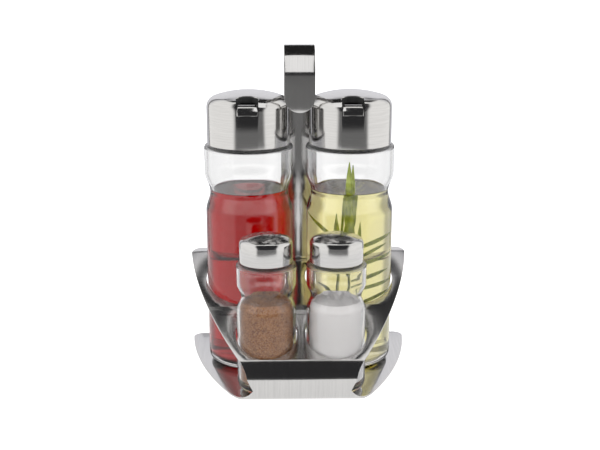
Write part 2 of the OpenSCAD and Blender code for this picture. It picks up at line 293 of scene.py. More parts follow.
@dataclass(frozen=True)
class BrushedSteel(Finish):
    """Stainless steel with fine brush lines.

    Attributes:
        grain: Which way the lines run.
        axis_x: Where the axis of a round part stands, in metres.
        axis_y: The same, along Y.
        roughness: How rough it is on average.
        line_depth: How strongly the lines scatter light across themselves.
    """

    grain: Grain = Grain.ALONG
    axis_x: float = 0.0
    axis_y: float = 0.0
    roughness: float = 0.2
    line_depth: float = 0.12
    colour: Colour = (0.62, 0.61, 0.6)

    def shade(self, graph: Graph) -> None:
        """Steel whose lines are noise stretched a hundredfold along the grain."""
        x, y, z = graph.parts(graph.place(Vector((self.axis_x, self.axis_y, 0))))
        if self.grain is Grain.ALONG:
            lines = graph.vector(x, y * 0.012, z * 0.012)
        else:
            radius = (x * x + y * y).root()
            turn = y.angle(x)
            lines = graph.vector(radius, turn * 0.0006, z)
        fine = graph.noise(lines, 5200, 2.0)
        coarse = graph.noise(lines, 900, 2.0)
        mottle = graph.noise(graph.place(), 60, 3.0)
        streak = fine * 0.6 + coarse * 0.4
        low, high = ([c * gain for c in self.colour] for gain in (0.93, 1.04))
        tone = graph.blend(streak.ramp(0.3, 0.7), low, high)
        rough = self.roughness * 0.75 + streak * self.roughness * 0.35 + mottle * self.roughness * 0.15
        normal = graph.bump(streak, self.line_depth, 0.00003)
        graph.output(graph.principled(Base_Color=tone, Metallic=1.0, Roughness=rough, Normal=normal))


@dataclass(frozen=True)
class ClearGlass(Finish):
    """Clear pressed soda glass, with the faint waviness of moulded glass.

    Attributes:
        ledge_z: Height of the ledge under the cap, in metres, where the mould leaves the glass dull.
        ledge_half: Half the height of the dull band.
        dull: Roughness of the dull band.
    """

    ledge_z: float = 0.0
    ledge_half: float = 0.0016
    dull: float = 0.32

    def shade(self, graph: Graph) -> None:
        """Smooth glass with a very shallow ripple and a dull ledge."""
        ripple = graph.noise(graph.place(), 90, 1.0)
        normal = graph.bump(ripple, 0.05, 0.0006)
        smear = graph.noise(graph.place(), 240, 3.0).ramp(0.55, 0.8, 0.0, 0.02)
        _, _, z = graph.parts(graph.place())
        away = (z - (self.ledge_z - self.ledge_half * 0.5)).size()
        ledge = away.ramp(self.ledge_half, self.ledge_half * 1.3, 1.0, 0.0)
        glass = graph.principled(
            Base_Color=(0.985, 0.985, 0.985, 1.0),
            Roughness=smear + ledge * self.dull,
            IOR=1.5,
            Specular_IOR_Level=CLEAR_SPECULAR,
            Transmission_Weight=1.0,
            Normal=normal,
        )
        graph.output(glass)


@dataclass(frozen=True)
class ClearLiquid(Finish):
    """A clear coloured liquid.

    Attributes:
        tint: The colour that passes.
        density: How fast it tints, per metre.
        ior: Index of refraction.
    """

    tint: Colour = (1.0, 1.0, 1.0)
    density: float = 20.0
    ior: float = 1.34

    def shade(self, graph: Graph) -> None:
        """A smooth surface around an absorbing volume."""
        swirl = graph.noise(graph.place(), 30, 1.0)
        surface = graph.principled(
            Base_Color=(1.0, 1.0, 1.0, 1.0),
            Roughness=swirl.ramp(0.5, 0.9, 0.0, 0.01),
            IOR=self.ior,
            Specular_IOR_Level=CLEAR_SPECULAR,
            Transmission_Weight=1.0,
        )
        inside = graph.node(
            "ShaderNodeVolumeAbsorption", {}, {"Color": (*self.tint, 1.0), "Density": self.density}
        )
        graph.output(surface, inside)


@dataclass(frozen=True)
class FreshLeaf(Finish):
    """A fresh green leaf or stem: lengthwise veins, paler streaks."""

    dark: Colour = (0.3, 0.43, 0.04)
    light: Colour = (0.76, 0.86, 0.18)

    def shade(self, graph: Graph) -> None:
        """Green that varies along and across the blade."""
        x, y, z = graph.parts(graph.place())
        veins = graph.noise(graph.vector(x, y, z * 0.08), 1500, 2.0)
        patches = graph.noise(graph.place(), 160, 3.0)
        share = (veins * 0.5 + patches * 0.6).ramp(0.3, 0.8)
        colour = graph.blend(share, self.dark, self.light)
        normal = graph.bump(veins, 0.3, 0.0002)
        graph.output(graph.principled(Base_Color=colour, Roughness=0.4 + patches * 0.15, Normal=normal))


@dataclass(frozen=True)
class Grains(Finish):
    """Loose dry grains.

    Attributes:
        dark: Colour of the darkest grains.
        middle: Colour of most grains.
        light: Colour of the lightest grains.
        pitch: Distance from grain to grain, in metres.
    """

    dark: Colour = (0.09, 0.025, 0.007)
    middle: Colour = (0.34, 0.13, 0.04)
    light: Colour = (0.58, 0.31, 0.13)
    pitch: float = 0.0004

    def shade(self, graph: Graph) -> None:
        """Each cell of a cell pattern is a grain with its own colour and its own height."""
        cells = {"Vector": graph.place(), "Scale": 1 / self.pitch}
        kind = "ShaderNodeTexVoronoi"
        own = graph.node("ShaderNodeSeparateColor", {}, {0: graph.node(kind, {}, cells, out="Color")})
        depth = graph.node(kind, {}, cells, out="Distance")
        clumps = graph.noise(graph.place(), 260, 3.0)
        share = own * 0.6 + clumps * 0.4
        colour = graph.node(
            "ShaderNodeValToRGB",
            {"stops": ((0.12, self.dark), (0.45, self.middle), (0.9, self.light))},
            {"Fac": share},
        )
        normal = graph.bump(1 - depth, 0.7, self.pitch * 0.6)
        graph.output(graph.principled(Base_Color=colour, Roughness=0.75 + clumps * 0.2, Normal=normal))


@dataclass(frozen=True)
class Moulded(Finish):
    """A moulded part with a fine satin texture, such as plastic or silicone."""

    colour: Colour = (0.02, 0.02, 0.02)
    roughness: float = 0.4

    def shade(self, graph: Graph) -> None:
        """A plain colour with fine mould texture and faint scuffs."""
        texture = graph.noise(graph.place(), 2500, 2.0)
        scuffs = graph.noise(graph.place(), 140, 4.0)
        worn = [min(1.0, c * 1.25 + 0.004) for c in self.colour]
        colour = graph.blend(scuffs.ramp(0.4, 0.8), self.colour, worn)
        normal = graph.bump(texture, 0.15, 0.00005)
        rough = self.roughness + scuffs * 0.15
        graph.output(graph.principled(Base_Color=colour, Roughness=rough, Normal=normal))


# ---- Mesh work ----


def arc(centre: Point2, radius: float, start: float, end: float, steps: int) -> list[Point2]:
    """Points of an arc.

    Args:
        centre: Its centre.
        radius: Its radius.
        start: First angle in degrees.
        end: Last angle in degrees.
        steps: Number of chords.

    Returns:
        steps + 1 points.
    """
    angles = [math.radians(start + (end - start) * i / steps) for i in range(steps + 1)]
    return [(centre[0] + radius * math.cos(a), centre[1] + radius * math.sin(a)) for a in angles]


def dip(z: float, spread: float, below: float, waist: float, above: float, steps: int = 12) -> list[Point2]:
    """Points of a waist that narrows and widens again along two half cosines."""
    points = []
    for i in range(-steps, steps + 1):
        share = (1 - math.cos(math.pi * abs(i) / steps)) / 2
        points.append((waist + ((below if i < 0 else above) - waist) * share, z + spread * i / steps))
    return points


def face_low(bm: bmesh.types.BMesh, outward: Sequence[float]) -> None:
    """Turns all faces of a sheet alike, so that its lowest face looks along outward."""
    bmesh.ops.recalc_face_normals(bm, faces=bm.faces)
    lowest = min(bm.faces, key=lambda f: f.calc_center_median().z)
    if lowest.normal.dot(Vector(outward)) < 0:
        bmesh.ops.reverse_faces(bm, faces=bm.faces)


def finish_mesh(name: str, bm: bmesh.types.BMesh, sharp: float = SHARP) -> bpy.types.Object:
    """Turns a bmesh into a shaded object in the scene.

    Args:
        name: The object's name.
        bm: The mesh, in metres, which is freed.
        sharp: Edges that turn by more degrees than this stay sharp.

    Returns:
        The object.
    """
    mesh = bpy.data.meshes.new(name)
    bm.to_mesh(mesh)
    bm.free()
    return finish_data(name, mesh, sharp)


def finish_data(name: str, mesh: bpy.types.Mesh, sharp: float) -> bpy.types.Object:
    """Shades a mesh smooth, except at sharp edges, and puts it in the scene."""
    mesh.shade_smooth()
    mesh.set_sharp_from_angle(angle=math.radians(sharp))
    piece = bpy.data.objects.new(name, mesh)
    bpy.context.scene.collection.objects.link(piece)
    return piece


def with_modifiers(
    piece: bpy.types.Object, add: Callable[[bpy.types.Object], None], sharp: float = SHARP
) -> bpy.types.Object:
    """Applies modifiers to a piece.

    Args:
        piece: The piece, which is replaced.
        add: Adds the modifiers.
        sharp: Edges that turn by more degrees than this stay sharp.

    Returns:
        The finished piece, with the same name.
    """
    add(piece)
    bpy.context.view_layer.update()
    graph = bpy.context.evaluated_depsgraph_get()
    mesh = bpy.data.meshes.new_from_object(piece.evaluated_get(graph))
    name = piece.name
    bpy.data.objects.remove(piece)
    mesh.name = name
    return finish_data(name, mesh, sharp)


def solid_shell(thickness: float, bevel: float) -> Callable[[bpy.types.Object], None]:
    """Modifiers that give a sheet its thickness, on the side away from its normals, and round its edges."""

    def add(piece: bpy.types.Object) -> None:
        solid = piece.modifiers.new("thickness", "SOLIDIFY")
        solid.thickness = thickness
        solid.offset = -1.0
        solid.use_even_offset = True
        if bevel:
            add_bevel(piece, bevel)

    return add


def add_bevel(piece: bpy.types.Object, width: float, segments: int = 2) -> None:
    """Adds a bevel on the edges that turn sharply."""
    edge = piece.modifiers.new("edges", "BEVEL")
    edge.width = width
    edge.segments = segments
    edge.limit_method = "ANGLE"
    edge.angle_limit = math.radians(40)


def cut_with(
    piece: bpy.types.Object, cutter: bmesh.types.BMesh, bevel: float, sharp: float = SHARP
) -> bpy.types.Object:
    """Cuts a piece with a closed mesh and rounds the new edges.

    Args:
        piece: The piece.
        cutter: The mesh to take away, which is freed.
        bevel: Width of the rounding.
        sharp: Edges that turn by more degrees than this stay sharp.

    Returns:
        The cut piece.
    """
    bmesh.ops.recalc_face_normals(cutter, faces=cutter.faces)
    tool = finish_mesh("cutter", cutter)

    def add(target: bpy.types.Object) -> None:
        cut = target.modifiers.new("cut", "BOOLEAN")
        cut.operation = "DIFFERENCE"
        cut.solver = "EXACT"
        cut.object = tool
        add_bevel(target, bevel)

    made = with_modifiers(piece, add, sharp)
    bpy.data.objects.remove(tool)
    return made


def chain(bm: bmesh.types.BMesh, points: Sequence[Vector], closed: bool = False) -> list[bmesh.types.BMEdge]:
    """Adds a line of edges through points.

    Args:
        bm: The mesh.
        points: The points in order.
        closed: Whether the last joins the first.

    Returns:
        The edges.
    """
    verts = [bm.verts.new(p) for p in points]
    pairs = list(zip(verts, verts[1:])) + ([(verts[-1], verts[0])] if closed else [])
    return [bm.edges.new(pair) for pair in pairs]


def sweep(bm: bmesh.types.BMesh, edges: list[bmesh.types.BMEdge], step: Sequence[float]) -> list:
    """Extrudes edges along a step in millimetres, and returns the moved edges."""
    made = bmesh.ops.extrude_edge_only(bm, edges=edges)["geom"]
    verts = [v for v in made if isinstance(v, bmesh.types.BMVert)]
    bmesh.ops.translate(bm, verts=verts, vec=Vector(step) * MM)
    return [e for e in made if isinstance(e, bmesh.types.BMEdge)]


def strip_mesh(profile: Sequence[Point2], half: float) -> bmesh.types.BMesh:
    """A strip, half wide to both sides, that follows a profile in the Y-Z plane."""
    bm = bmesh.new()
    edges = chain(bm, [Vector((-half, y, z)) * MM for y, z in profile])
    sweep(bm, edges, (2 * half, 0, 0))
    return bm


def join(whole: bmesh.types.BMesh, part: bmesh.types.BMesh) -> None:
    """Adds a part, which is freed, to the whole."""
    mesh = bpy.data.meshes.new("part")
    part.to_mesh(mesh)
    part.free()
    whole.from_mesh(mesh)
    bpy.data.meshes.remove(mesh)


def lathe(profile: Sequence[Point2], axis: Vector, steps: int) -> bmesh.types.BMesh:
    """Spins a half outline about an upright axis.

    Args:
        profile: Points as radius and height, in millimetres.
        axis: A point on the axis, in metres.
        steps: Number of steps around.

    Returns:
        The closed mesh, with its faces turned outwards.
    """
    bm = bmesh.new()
    edges = chain(bm, [Vector((axis.x + r * MM, axis.y, z * MM)) for r, z in profile])
    verts = list({v for e in edges for v in e.verts})
    bmesh.ops.spin(
        bm,
        geom=edges + verts,
        cent=(axis.x, axis.y, 0),
        axis=(0, 0, 1),
        angle=math.tau,
        steps=steps,
        use_merge=True,
    )
    bmesh.ops.remove_doubles(bm, verts=bm.verts, dist=1e-6)
    bmesh.ops.recalc_face_normals(bm, faces=bm.faces)
    return bm


def add_cylinder(bm: bmesh.types.BMesh, middle: Vector, radius: float, depth: float, segments: int) -> None:
    """Adds an upright cylinder; the middle is in metres, the radius and depth in millimetres."""
    bmesh.ops.create_cone(
        bm,
        cap_ends=True,
        segments=segments,
        radius1=radius * MM,
        radius2=radius * MM,
        depth=depth * MM,
        matrix=Matrix.Translation(middle),
    )


def dress(piece: bpy.types.Object, finish: Finish, body: str, *nodes: str) -> bpy.types.Object:
    """Gives a finished piece its material, its body and the CAD nodes that it stands for.

    Args:
        piece: The piece.
        finish: Its finish.
        body: The body it moves with.
        nodes: CAD nodes that it replaces.

    Returns:
        The piece.
    """
    piece.data.materials.clear()
    piece.data.materials.append(finish.material())
    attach(piece, body)
    if nodes:
        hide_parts(*nodes)
    LOG.info("%s: %d faces, %s, rides on %s", piece.name, len(piece.data.polygons), finish.name, body)
    return piece


def node_axis(node: str) -> Vector:
    """The upright middle line of a round CAD node."""
    low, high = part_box(node)
    return Vector(((low.x + high.x) / 2, (low.y + high.y) / 2, 0))


# ---- Rack ----


@dataclass
class Rack:
    """The folded sheet: bottom plate, front fold and arched shelf.

    Attributes:
        thickness: Of the sheet.
        fold_radius: Outside radius of the front fold.
        slope: Of the shelf where it leaves the fold, in degrees.
        arch: Radius of the shelf's arch.
        setback: From the plate's back edge to the shelf's.
        side_radius: Of the curved sides, seen from above.
        side_half_width: Half width where the sides are widest.
        side_y: Where the sides are widest.
        corner: Radius of the back corners.
        waist: Half width of the waist on the fold.
        waist_angle: Where the waist lies on the fold, below its foremost line, in degrees.
        hole_bevel: Rounding of the edges.
        upper_flare: Tilt in degrees and gain of the flare above the waist.
        lower_flare: The same, below the waist.
    """

    thickness: float = 1.2
    fold_radius: float = 15.25
    slope: float = 28.0
    arch: float = 450.0
    setback: float = 7.0
    side_radius: float = 252.0
    side_half_width: float = 79.4
    side_y: float = 77.8
    corner: float = 7.0
    waist: float = 31.5
    waist_angle: float = 20.0
    hole_bevel: float = 0.22
    upper_flare: tuple[float, float] = (59.8, 0.558)
    lower_flare: tuple[float, float] = (-14.4, 0.771)
    finish: BrushedSteel = BrushedSteel(
        "rack_steel", "brushed_steel", roughness=STEEL_ROUGHNESS, line_depth=0.16
    )

    def __post_init__(self) -> None:
        """Works out the fold and the arch from the rack's box."""
        low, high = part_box("rack_sheet")
        self.front = low.y / MM
        self.back = high.y / MM
        self.fold = (self.front + self.fold_radius, self.fold_radius)
        slope = math.radians(self.slope)
        start_y = self.fold[0] - self.fold_radius * math.sin(slope)
        start_z = self.fold[1] + self.fold_radius * math.cos(slope)
        self.arch_centre = (start_y + self.arch * math.sin(slope), start_z - self.arch * math.cos(slope))

    def shelf_top(self, y: float) -> float:
        """Height of the shelf's top face at y."""
        return self.arch_centre[1] + math.sqrt(self.arch**2 - (self.arch_centre[0] - y) ** 2)

    def _folded(self, profile: Sequence[Point2]) -> bmesh.types.BMesh:
        """A wide sheet that follows a profile in the Y-Z plane."""
        return strip_mesh(profile, self.side_half_width * 1.2)

    def _cut(self, bm: bmesh.types.BMesh, point: Sequence[float], normal: Sequence[float]) -> None:
        """Cuts a sheet along a plane and its mirror image, and drops what is outside."""
        for side in (-1, 1):
            bmesh.ops.bisect_plane(
                bm,
                geom=bm.verts[:] + bm.edges[:] + bm.faces[:],
                dist=1e-7,
                plane_co=Vector((side * point[0], point[1], point[2])) * MM,
                plane_no=Vector((side * normal[0], normal[1], normal[2])),
                clear_outer=True,
            )

    def _outline(self, bm: bmesh.types.BMesh, back: float) -> None:
        """Cuts the curved sides, the rounded back corners and the back edge."""
        centre = (self.side_half_width - self.side_radius, self.side_y)
        reach = self.side_radius - self.corner
        turn = math.degrees(math.asin((back - self.corner - self.side_y) / reach))
        corner = (
            centre[0] + reach * math.cos(math.radians(turn)),
            centre[1] + reach * math.sin(math.radians(turn)),
        )
        start = math.degrees(math.asin((self.front - self.side_y) / self.side_radius))
        for middle, radius, first, last, cuts in (
            (centre, self.side_radius, start, turn, 28),
            (corner, self.corner, turn, 90.0, 12),
        ):
            for x, y in arc(middle, radius, first, last, cuts):
                self._cut(bm, (x, y, 0), ((x - middle[0]) / radius, (y - middle[1]) / radius, 0))

    def _flare(self, bm: bmesh.types.BMesh, tilt: float, gain: float) -> None:
        """Cuts the two straight flares that widen from the waist."""
        angle = math.radians(self.waist_angle)
        point = (
            self.waist,
            self.fold[0] - self.fold_radius * math.cos(angle),
            self.fold[1] - self.fold_radius * math.sin(angle),
        )
        lean = math.radians(tilt)
        self._cut(bm, point, (1.0, -gain * math.cos(lean), -gain * math.sin(lean)))

    def build(self) -> bpy.types.Object:
        """Builds the sheet: two folded halves that meet at the waist line, then holes and edges.

        Returns:
            The dressed piece.
        """
        waist = 180 + self.waist_angle
        lower = self._folded([(self.back, 0.0), *arc(self.fold, self.fold_radius, 270, waist, 20)])
        self._flare(lower, *self.lower_flare)
        self._outline(lower, self.back)
        shelf_back = self.back - self.setback
        end = 90 + math.degrees(math.asin((self.arch_centre[0] - shelf_back) / self.arch))
        rise = arc(self.fold, self.fold_radius, waist, 90 + self.slope, 24)
        shelf = arc(self.arch_centre, self.arch, 90 + self.slope, end, 48)
        upper = self._folded([*rise, *shelf[1:]])
        self._flare(upper, *self.upper_flare)
        self._outline(upper, shelf_back)
        join(lower, upper)
        bmesh.ops.remove_doubles(lower, verts=lower.verts, dist=2e-6)
        face_low(lower, (0, 0, -1))
        sheet = with_modifiers(finish_mesh("folded_sheet", lower), solid_shell(self.thickness * MM, 0.0))
        sheet = cut_with(sheet, self._hole_cutter(), self.hole_bevel * MM)
        return dress(sheet, self.finish, "rack", "rack_sheet")

    def _hole_cutter(self) -> bmesh.types.BMesh:
        """Upright cylinders where the vessels pass through the shelf."""
        cutter = bmesh.new()
        depth = 200.0
        for node, radius in HOLE_RADIUS.items():
            middle = node_axis(node) + Vector((0, 0, self.fold_radius + depth / 2)) * MM
            add_cylinder(cutter, middle, radius, depth, 160)
        return cutter


@dataclass
class Handle:
    """The strip that rises behind the bottles and bends forward into a hook, and its two rivets.

    Attributes:
        rack: The sheet that it stands on.
        thickness: Of the strip.
        bend: Inside radius where the post turns into its foot.
        rivet_radius: Of a rivet's head.
        rivet_height: Of a rivet's head.
        flange: Length of the foot, from the post's back face.
        tip_z: Lowest point of the hook's rounded tip.
    """

    rack: Rack
    thickness: float = 1.5
    bend: float = 1.0
    rivet_radius: float = 3.0
    rivet_height: float = 1.0
    flange: float = 15.0
    tip_z: float = 179.5
    finish: BrushedSteel = BrushedSteel(
        "handle_steel", "brushed_steel", roughness=STEEL_ROUGHNESS, line_depth=0.16
    )

    def build(self) -> None:
        """Builds the strip and the rivets."""
        low, high = (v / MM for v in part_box("handle_strip"))
        half = (high.x - low.x) / 2
        leg_front = low.y
        post_back = high.y - self.flange
        hook_radius = (post_back - leg_front) / 2
        hook_y = leg_front + hook_radius
        hook_z = high.z - hook_radius
        centre = self.rack.arch_centre
        outside = self.rack.arch + self.thickness
        bend_y = post_back + self.bend
        first, last = (90 + math.degrees(math.asin((centre[0] - y) / outside)) for y in (high.y, bend_y))
        foot = arc(centre, outside, first, last, 6)
        turn = arc((bend_y, foot[-1][1] + self.bend), self.bend, 270 + 16, 180, 6)
        hook = arc((hook_y, hook_z), hook_radius, 0, 180, 48)
        tip_z = self.tip_z
        profile = [*foot, *turn[1:], *hook, (leg_front, tip_z)]
        bm = strip_mesh(profile, half)
        for x, z in arc((0.0, tip_z + half), half, 180, 360, 28):
            middles = ((f, f.calc_center_median() / MM) for f in bm.faces)
            leg = [f for f, middle in middles if middle.y < leg_front + 1 and middle.z < hook_z]
            edges = list({e for f in leg for e in f.edges})
            verts = list({v for f in leg for v in f.verts})
            bmesh.ops.bisect_plane(
                bm,
                geom=leg + edges + verts,
                dist=1e-7,
                plane_co=Vector((x, leg_front, z)) * MM,
                plane_no=Vector((x / half, 0, (z - tip_z - half) / half)),
                clear_outer=True,
            )
        bmesh.ops.recalc_face_normals(bm, faces=bm.faces)
        top = max(bm.faces, key=lambda f: f.calc_center_median().z)
        if top.normal.z < 0:
            bmesh.ops.reverse_faces(bm, faces=bm.faces)
        strip = with_modifiers(finish_mesh("hook_handle", bm), solid_shell(self.thickness * MM, 0.25 * MM))
        dress(strip, self.finish, "rack", "handle_strip")
        self._rivets()

    def _rivets(self) -> None:
        """Builds the domed heads of both rivets, above the flange and under the shelf."""
        low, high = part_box("handle_rivets")
        y = (low.y + high.y) / 2 / MM
        lean = math.asin((self.rack.arch_centre[0] - y) / self.rack.arch)
        bm = bmesh.new()
        dome = self.rivet_height
        reach = self.rivet_radius
        ball = (reach**2 + dome**2) / (2 * dome)
        half = math.degrees(math.asin(reach / ball))
        for side in (-1, 1):
            x = side * (high.x - low.x) / 2 / MM - side * reach
            place = Matrix.Translation(Vector((x, y, self.rack.shelf_top(y))) * MM)
            place = place @ Matrix.Rotation(lean, 4, "X")
            for base, up in ((self.thickness, 1), (-self.rack.thickness, -1)):
                profile = [(0.0, base), (reach, base)] + [
                    (r, base + up * (z - ball + dome)) for r, z in arc((0, 0), ball, 90 - half, 90, 8)
                ]
                head = lathe(profile, Vector((0, 0, 0)), 32)
                bmesh.ops.transform(head, matrix=place, verts=head.verts)
                join(bm, head)
        rivets = finish_mesh("rivet_heads", bm)
        dress(rivets, BrushedSteel("rivet_steel", "rivet_steel", roughness=0.26), "rack", "handle_rivets")


# ---- Vessels ----


@dataclass
class Vessel:
    """A glass body with a waist, a ledge for its cap, and a neck.

    Attributes:
        name: Its CAD node.
        radius: Of the body.
        bulge: Radius above the waist.
        waist: Radius of the waist.
        waist_z: Height of the waist.
        waist_spread: Height from the waist to where the body is straight again.
        ledge_z: Height of the ledge that the cap sits on.
        neck: Outside radius of the neck.
        wall: Thickness of the wall.
        base: Thickness of the bottom.
        fillet: Radius around the foot.
        ledge_round: Radius at the edge of the ledge.
        floor_z: Height of the plate that it stands on.
        hollow: Height of the hollow under the bottom.
        stipple: Depth of the short ribs around the foot.
        steps: Number of steps around.
    """

    name: str
    radius: float
    bulge: float
    waist: float
    waist_z: float
    waist_spread: float
    ledge_z: float
    neck: float
    wall: float
    base: float
    fillet: float
    ledge_round: float = 2.8
    floor_z: float = 1.2
    hollow: float = 1.2
    stipple: float = 0.22
    steps: int = 192

    def __post_init__(self) -> None:
        """Takes the axis and the height of the neck from the frame."""
        self.axis = node_axis(self.name)
        self.top_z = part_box(self.name)[1].z / MM

    def side(self, inset: float, foot_z: float) -> list[Point2]:
        """Half outline from the foot to the ledge, drawn in by inset."""
        foot = arc((self.radius - self.fillet, foot_z + self.fillet), self.fillet - inset, -90, 0, 10)
        waist = dip(
            self.waist_z, self.waist_spread, self.radius - inset, self.waist - inset, self.bulge - inset
        )
        corner = (self.bulge - self.ledge_round, self.ledge_z - self.ledge_round)
        return foot + waist + arc(corner, self.ledge_round - inset, 0, 90, 8)

    def inside(self, grow: float, level: float) -> list[Point2]:
        """Half outline of the space inside, made larger by grow, up to a level below the ledge."""
        inset = self.wall - grow
        side = self.side(inset, self.floor_z + self.base - self.wall)
        kept = [p for p in side if p[1] < level]
        edge = next(p for p in side if p[1] >= level)
        share = (level - kept[-1][1]) / (edge[1] - kept[-1][1])
        return kept + [(kept[-1][0] + share * (edge[0] - kept[-1][0]), level)]

    def build(self) -> bpy.types.Object:
        """Builds the glass.

        Returns:
            The dressed piece.
        """
        bottom = self.floor_z
        rest = self.radius - self.fillet
        outer = self.side(0.0, bottom)
        lip = 0.9
        root = 0.8
        neck_out = [
            *arc((self.neck + root, self.ledge_z + root), root, 270, 180, 4),
            *arc((self.neck - lip, self.top_z - lip), lip, 0, 90, 5),
        ]
        bore = self.neck - self.wall
        neck_in = [
            *arc((bore + lip * 0.6, self.top_z - lip * 0.6), lip * 0.6, 90, 180, 4),
            *arc((bore + root, self.ledge_z - self.wall - root), root, 180, 90, 4),
        ]
        inner = self.side(self.wall, bottom + self.base - self.wall)[::-1]
        rises = ((0.0, self.hollow), (0.6, self.hollow * 0.9), (0.86, 0.25), (0.93, 0.0))
        hollow = [(rest * share, bottom + rise) for share, rise in rises]
        profile = [*hollow, *outer, *neck_out, *neck_in, *inner, (0.0, inner[-1][1])]
        bm = lathe(profile, self.axis, self.steps)
        self._stipple(bm, bottom)
        glass = ClearGlass("soda_glass_" + self.name, "clear_glass", self.ledge_z * MM)
        return dress(finish_mesh(self.name + "_glass", bm, 50), glass, self.name, self.name)

    def _stipple(self, bm: bmesh.types.BMesh, bottom: float) -> None:
        """Presses the ring of short ribs around the foot."""
        low = (bottom + 0.15) * MM
        high = (bottom + self.fillet * 0.42) * MM
        for vert in bm.verts:
            if not low < vert.co.z < high:
                continue
            arm = Vector((vert.co.x - self.axis.x, vert.co.y - self.axis.y, 0))
            if arm.length < (self.radius - self.fillet) * MM:
                continue
            number = round(math.atan2(arm.y, arm.x) / math.tau * self.steps)
            if number % 2:
                vert.co -= arm.normalized() * self.stipple * MM


@dataclass
class Liquid:
    """What a bottle holds, filled to a level."""

    vessel: Vessel
    node: str
    finish: ClearLiquid
    overlap: float = 0.04
    meniscus: float = 0.7

    def build(self) -> bpy.types.Object:
        """Builds the liquid, a little into the glass, with a curved rim at its surface."""
        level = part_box(self.node)[1].z / MM
        side = self.vessel.inside(self.overlap, level + self.meniscus)
        rim = side[-1][0]
        curve = [
            (rim - 3.2 * self.meniscus * share, level + self.meniscus * (1 - share) ** 2.4)
            for share in (0.12, 0.25, 0.4, 0.6, 0.8, 1.0)
        ]
        floor_z = side[0][1]
        profile = [(0.0, floor_z), *side, *curve, (rim * 0.5, level), (0.0, level)]
        bm = lathe(profile, self.vessel.axis, 160)
        return dress(finish_mesh(self.node + "_liquid", bm, 60), self.finish, self.vessel.name, self.node)


@dataclass
class GrainFill:
    """Loose grains in a shaker, with an uneven top."""

    vessel: Vessel
    node: str
    finish: Grains
    slope: float = 2.0
    lumps: float = 1.2
    gap: float = 0.05

    def build(self) -> bpy.types.Object:
        """Builds the grains as one closed mass."""
        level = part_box(self.node)[1].z / MM
        side = self.vessel.inside(-self.gap, level)
        rim = side[-1][0]
        rings = 14
        top = [(rim * (1 - i / rings), level) for i in range(1, rings + 1)]
        profile = [(0.0, side[0][1]), *side, *top]
        bm = lathe(profile, self.vessel.axis, 120)
        for vert in bm.verts:
            if vert.co.z > (level - 0.01) * MM:
                away = (vert.co - self.vessel.axis) / MM
                rough = noise.fractal(Vector((away.x, away.y, level)) * 0.22, 1.0, 2.0, 4)
                fine = noise.noise(Vector((away.x, away.y, level)) * 1.7)
                drop = self.lumps * (0.9 - rough) + 0.15 * fine + self.slope * (0.5 + away.x / rim / 2)
                vert.co.z -= max(0.05, drop) * MM
        return dress(finish_mesh(self.node + "_fill", bm, 60), self.finish, self.vessel.name, self.node)


# ---- Caps ----


@dataclass
class DomedCap:
    """A domed steel cap over a neck.

    Attributes:
        node: The CAD node of its shell.
        body: The body that it moves with.
        radius: Outside.
        side_z: Height where the straight side ends.
        shoulder: Radius of the shoulder.
        crown: Slope of the crown where it meets the shoulder, in degrees.
        wall: Thickness of the steel.
    """

    node: str
    body: str
    radius: float
    side_z: float
    shoulder: float
    crown: float
    wall: float = 0.6

    def __post_init__(self) -> None:
        """Takes the axis and the foot from the frame."""
        self.axis = node_axis(self.node)
        self.foot_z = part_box(self.node)[0].z / MM

    def outline(self, inset: float) -> list[Point2]:
        """Half outline from the foot to the top, drawn in by inset."""
        slope = math.radians(self.crown)
        flat = self.radius - self.shoulder
        big = (flat + self.shoulder * math.sin(slope)) / math.sin(slope)
        crown_z = self.side_z + self.shoulder * math.cos(slope) - big * math.cos(slope)
        shoulder = arc((flat, self.side_z), self.shoulder - inset, 0, 90 - self.crown, 14)
        crown = arc((0.0, crown_z), big - inset, 90 - self.crown, 90, 16)
        return [(self.radius - inset, self.foot_z), *shoulder, *crown[1:]]

    def shell(self) -> bpy.types.Object:
        """The bare shell, closed, with its wall."""
        outer = self.outline(0.0)
        inner = self.outline(self.wall)[::-1]
        edge = self.wall / 2
        foot = arc((self.radius - edge, self.foot_z + edge), edge, 180, 360, 6)
        profile = [*inner[:-1], *foot, *outer[1:]]
        bm = lathe([(max(0.0, r), z) for r, z in profile], self.axis, 256)
        return finish_mesh(self.node + "_dome", bm, 50)

    def steel(self) -> BrushedSteel:
        """Steel that is brushed around this cap's axis."""
        x, y, _ = self.axis
        return BrushedSteel(self.node + "_steel", "cap_steel", Grain.ROUND, x, y, STEEL_ROUGHNESS, 0.08)


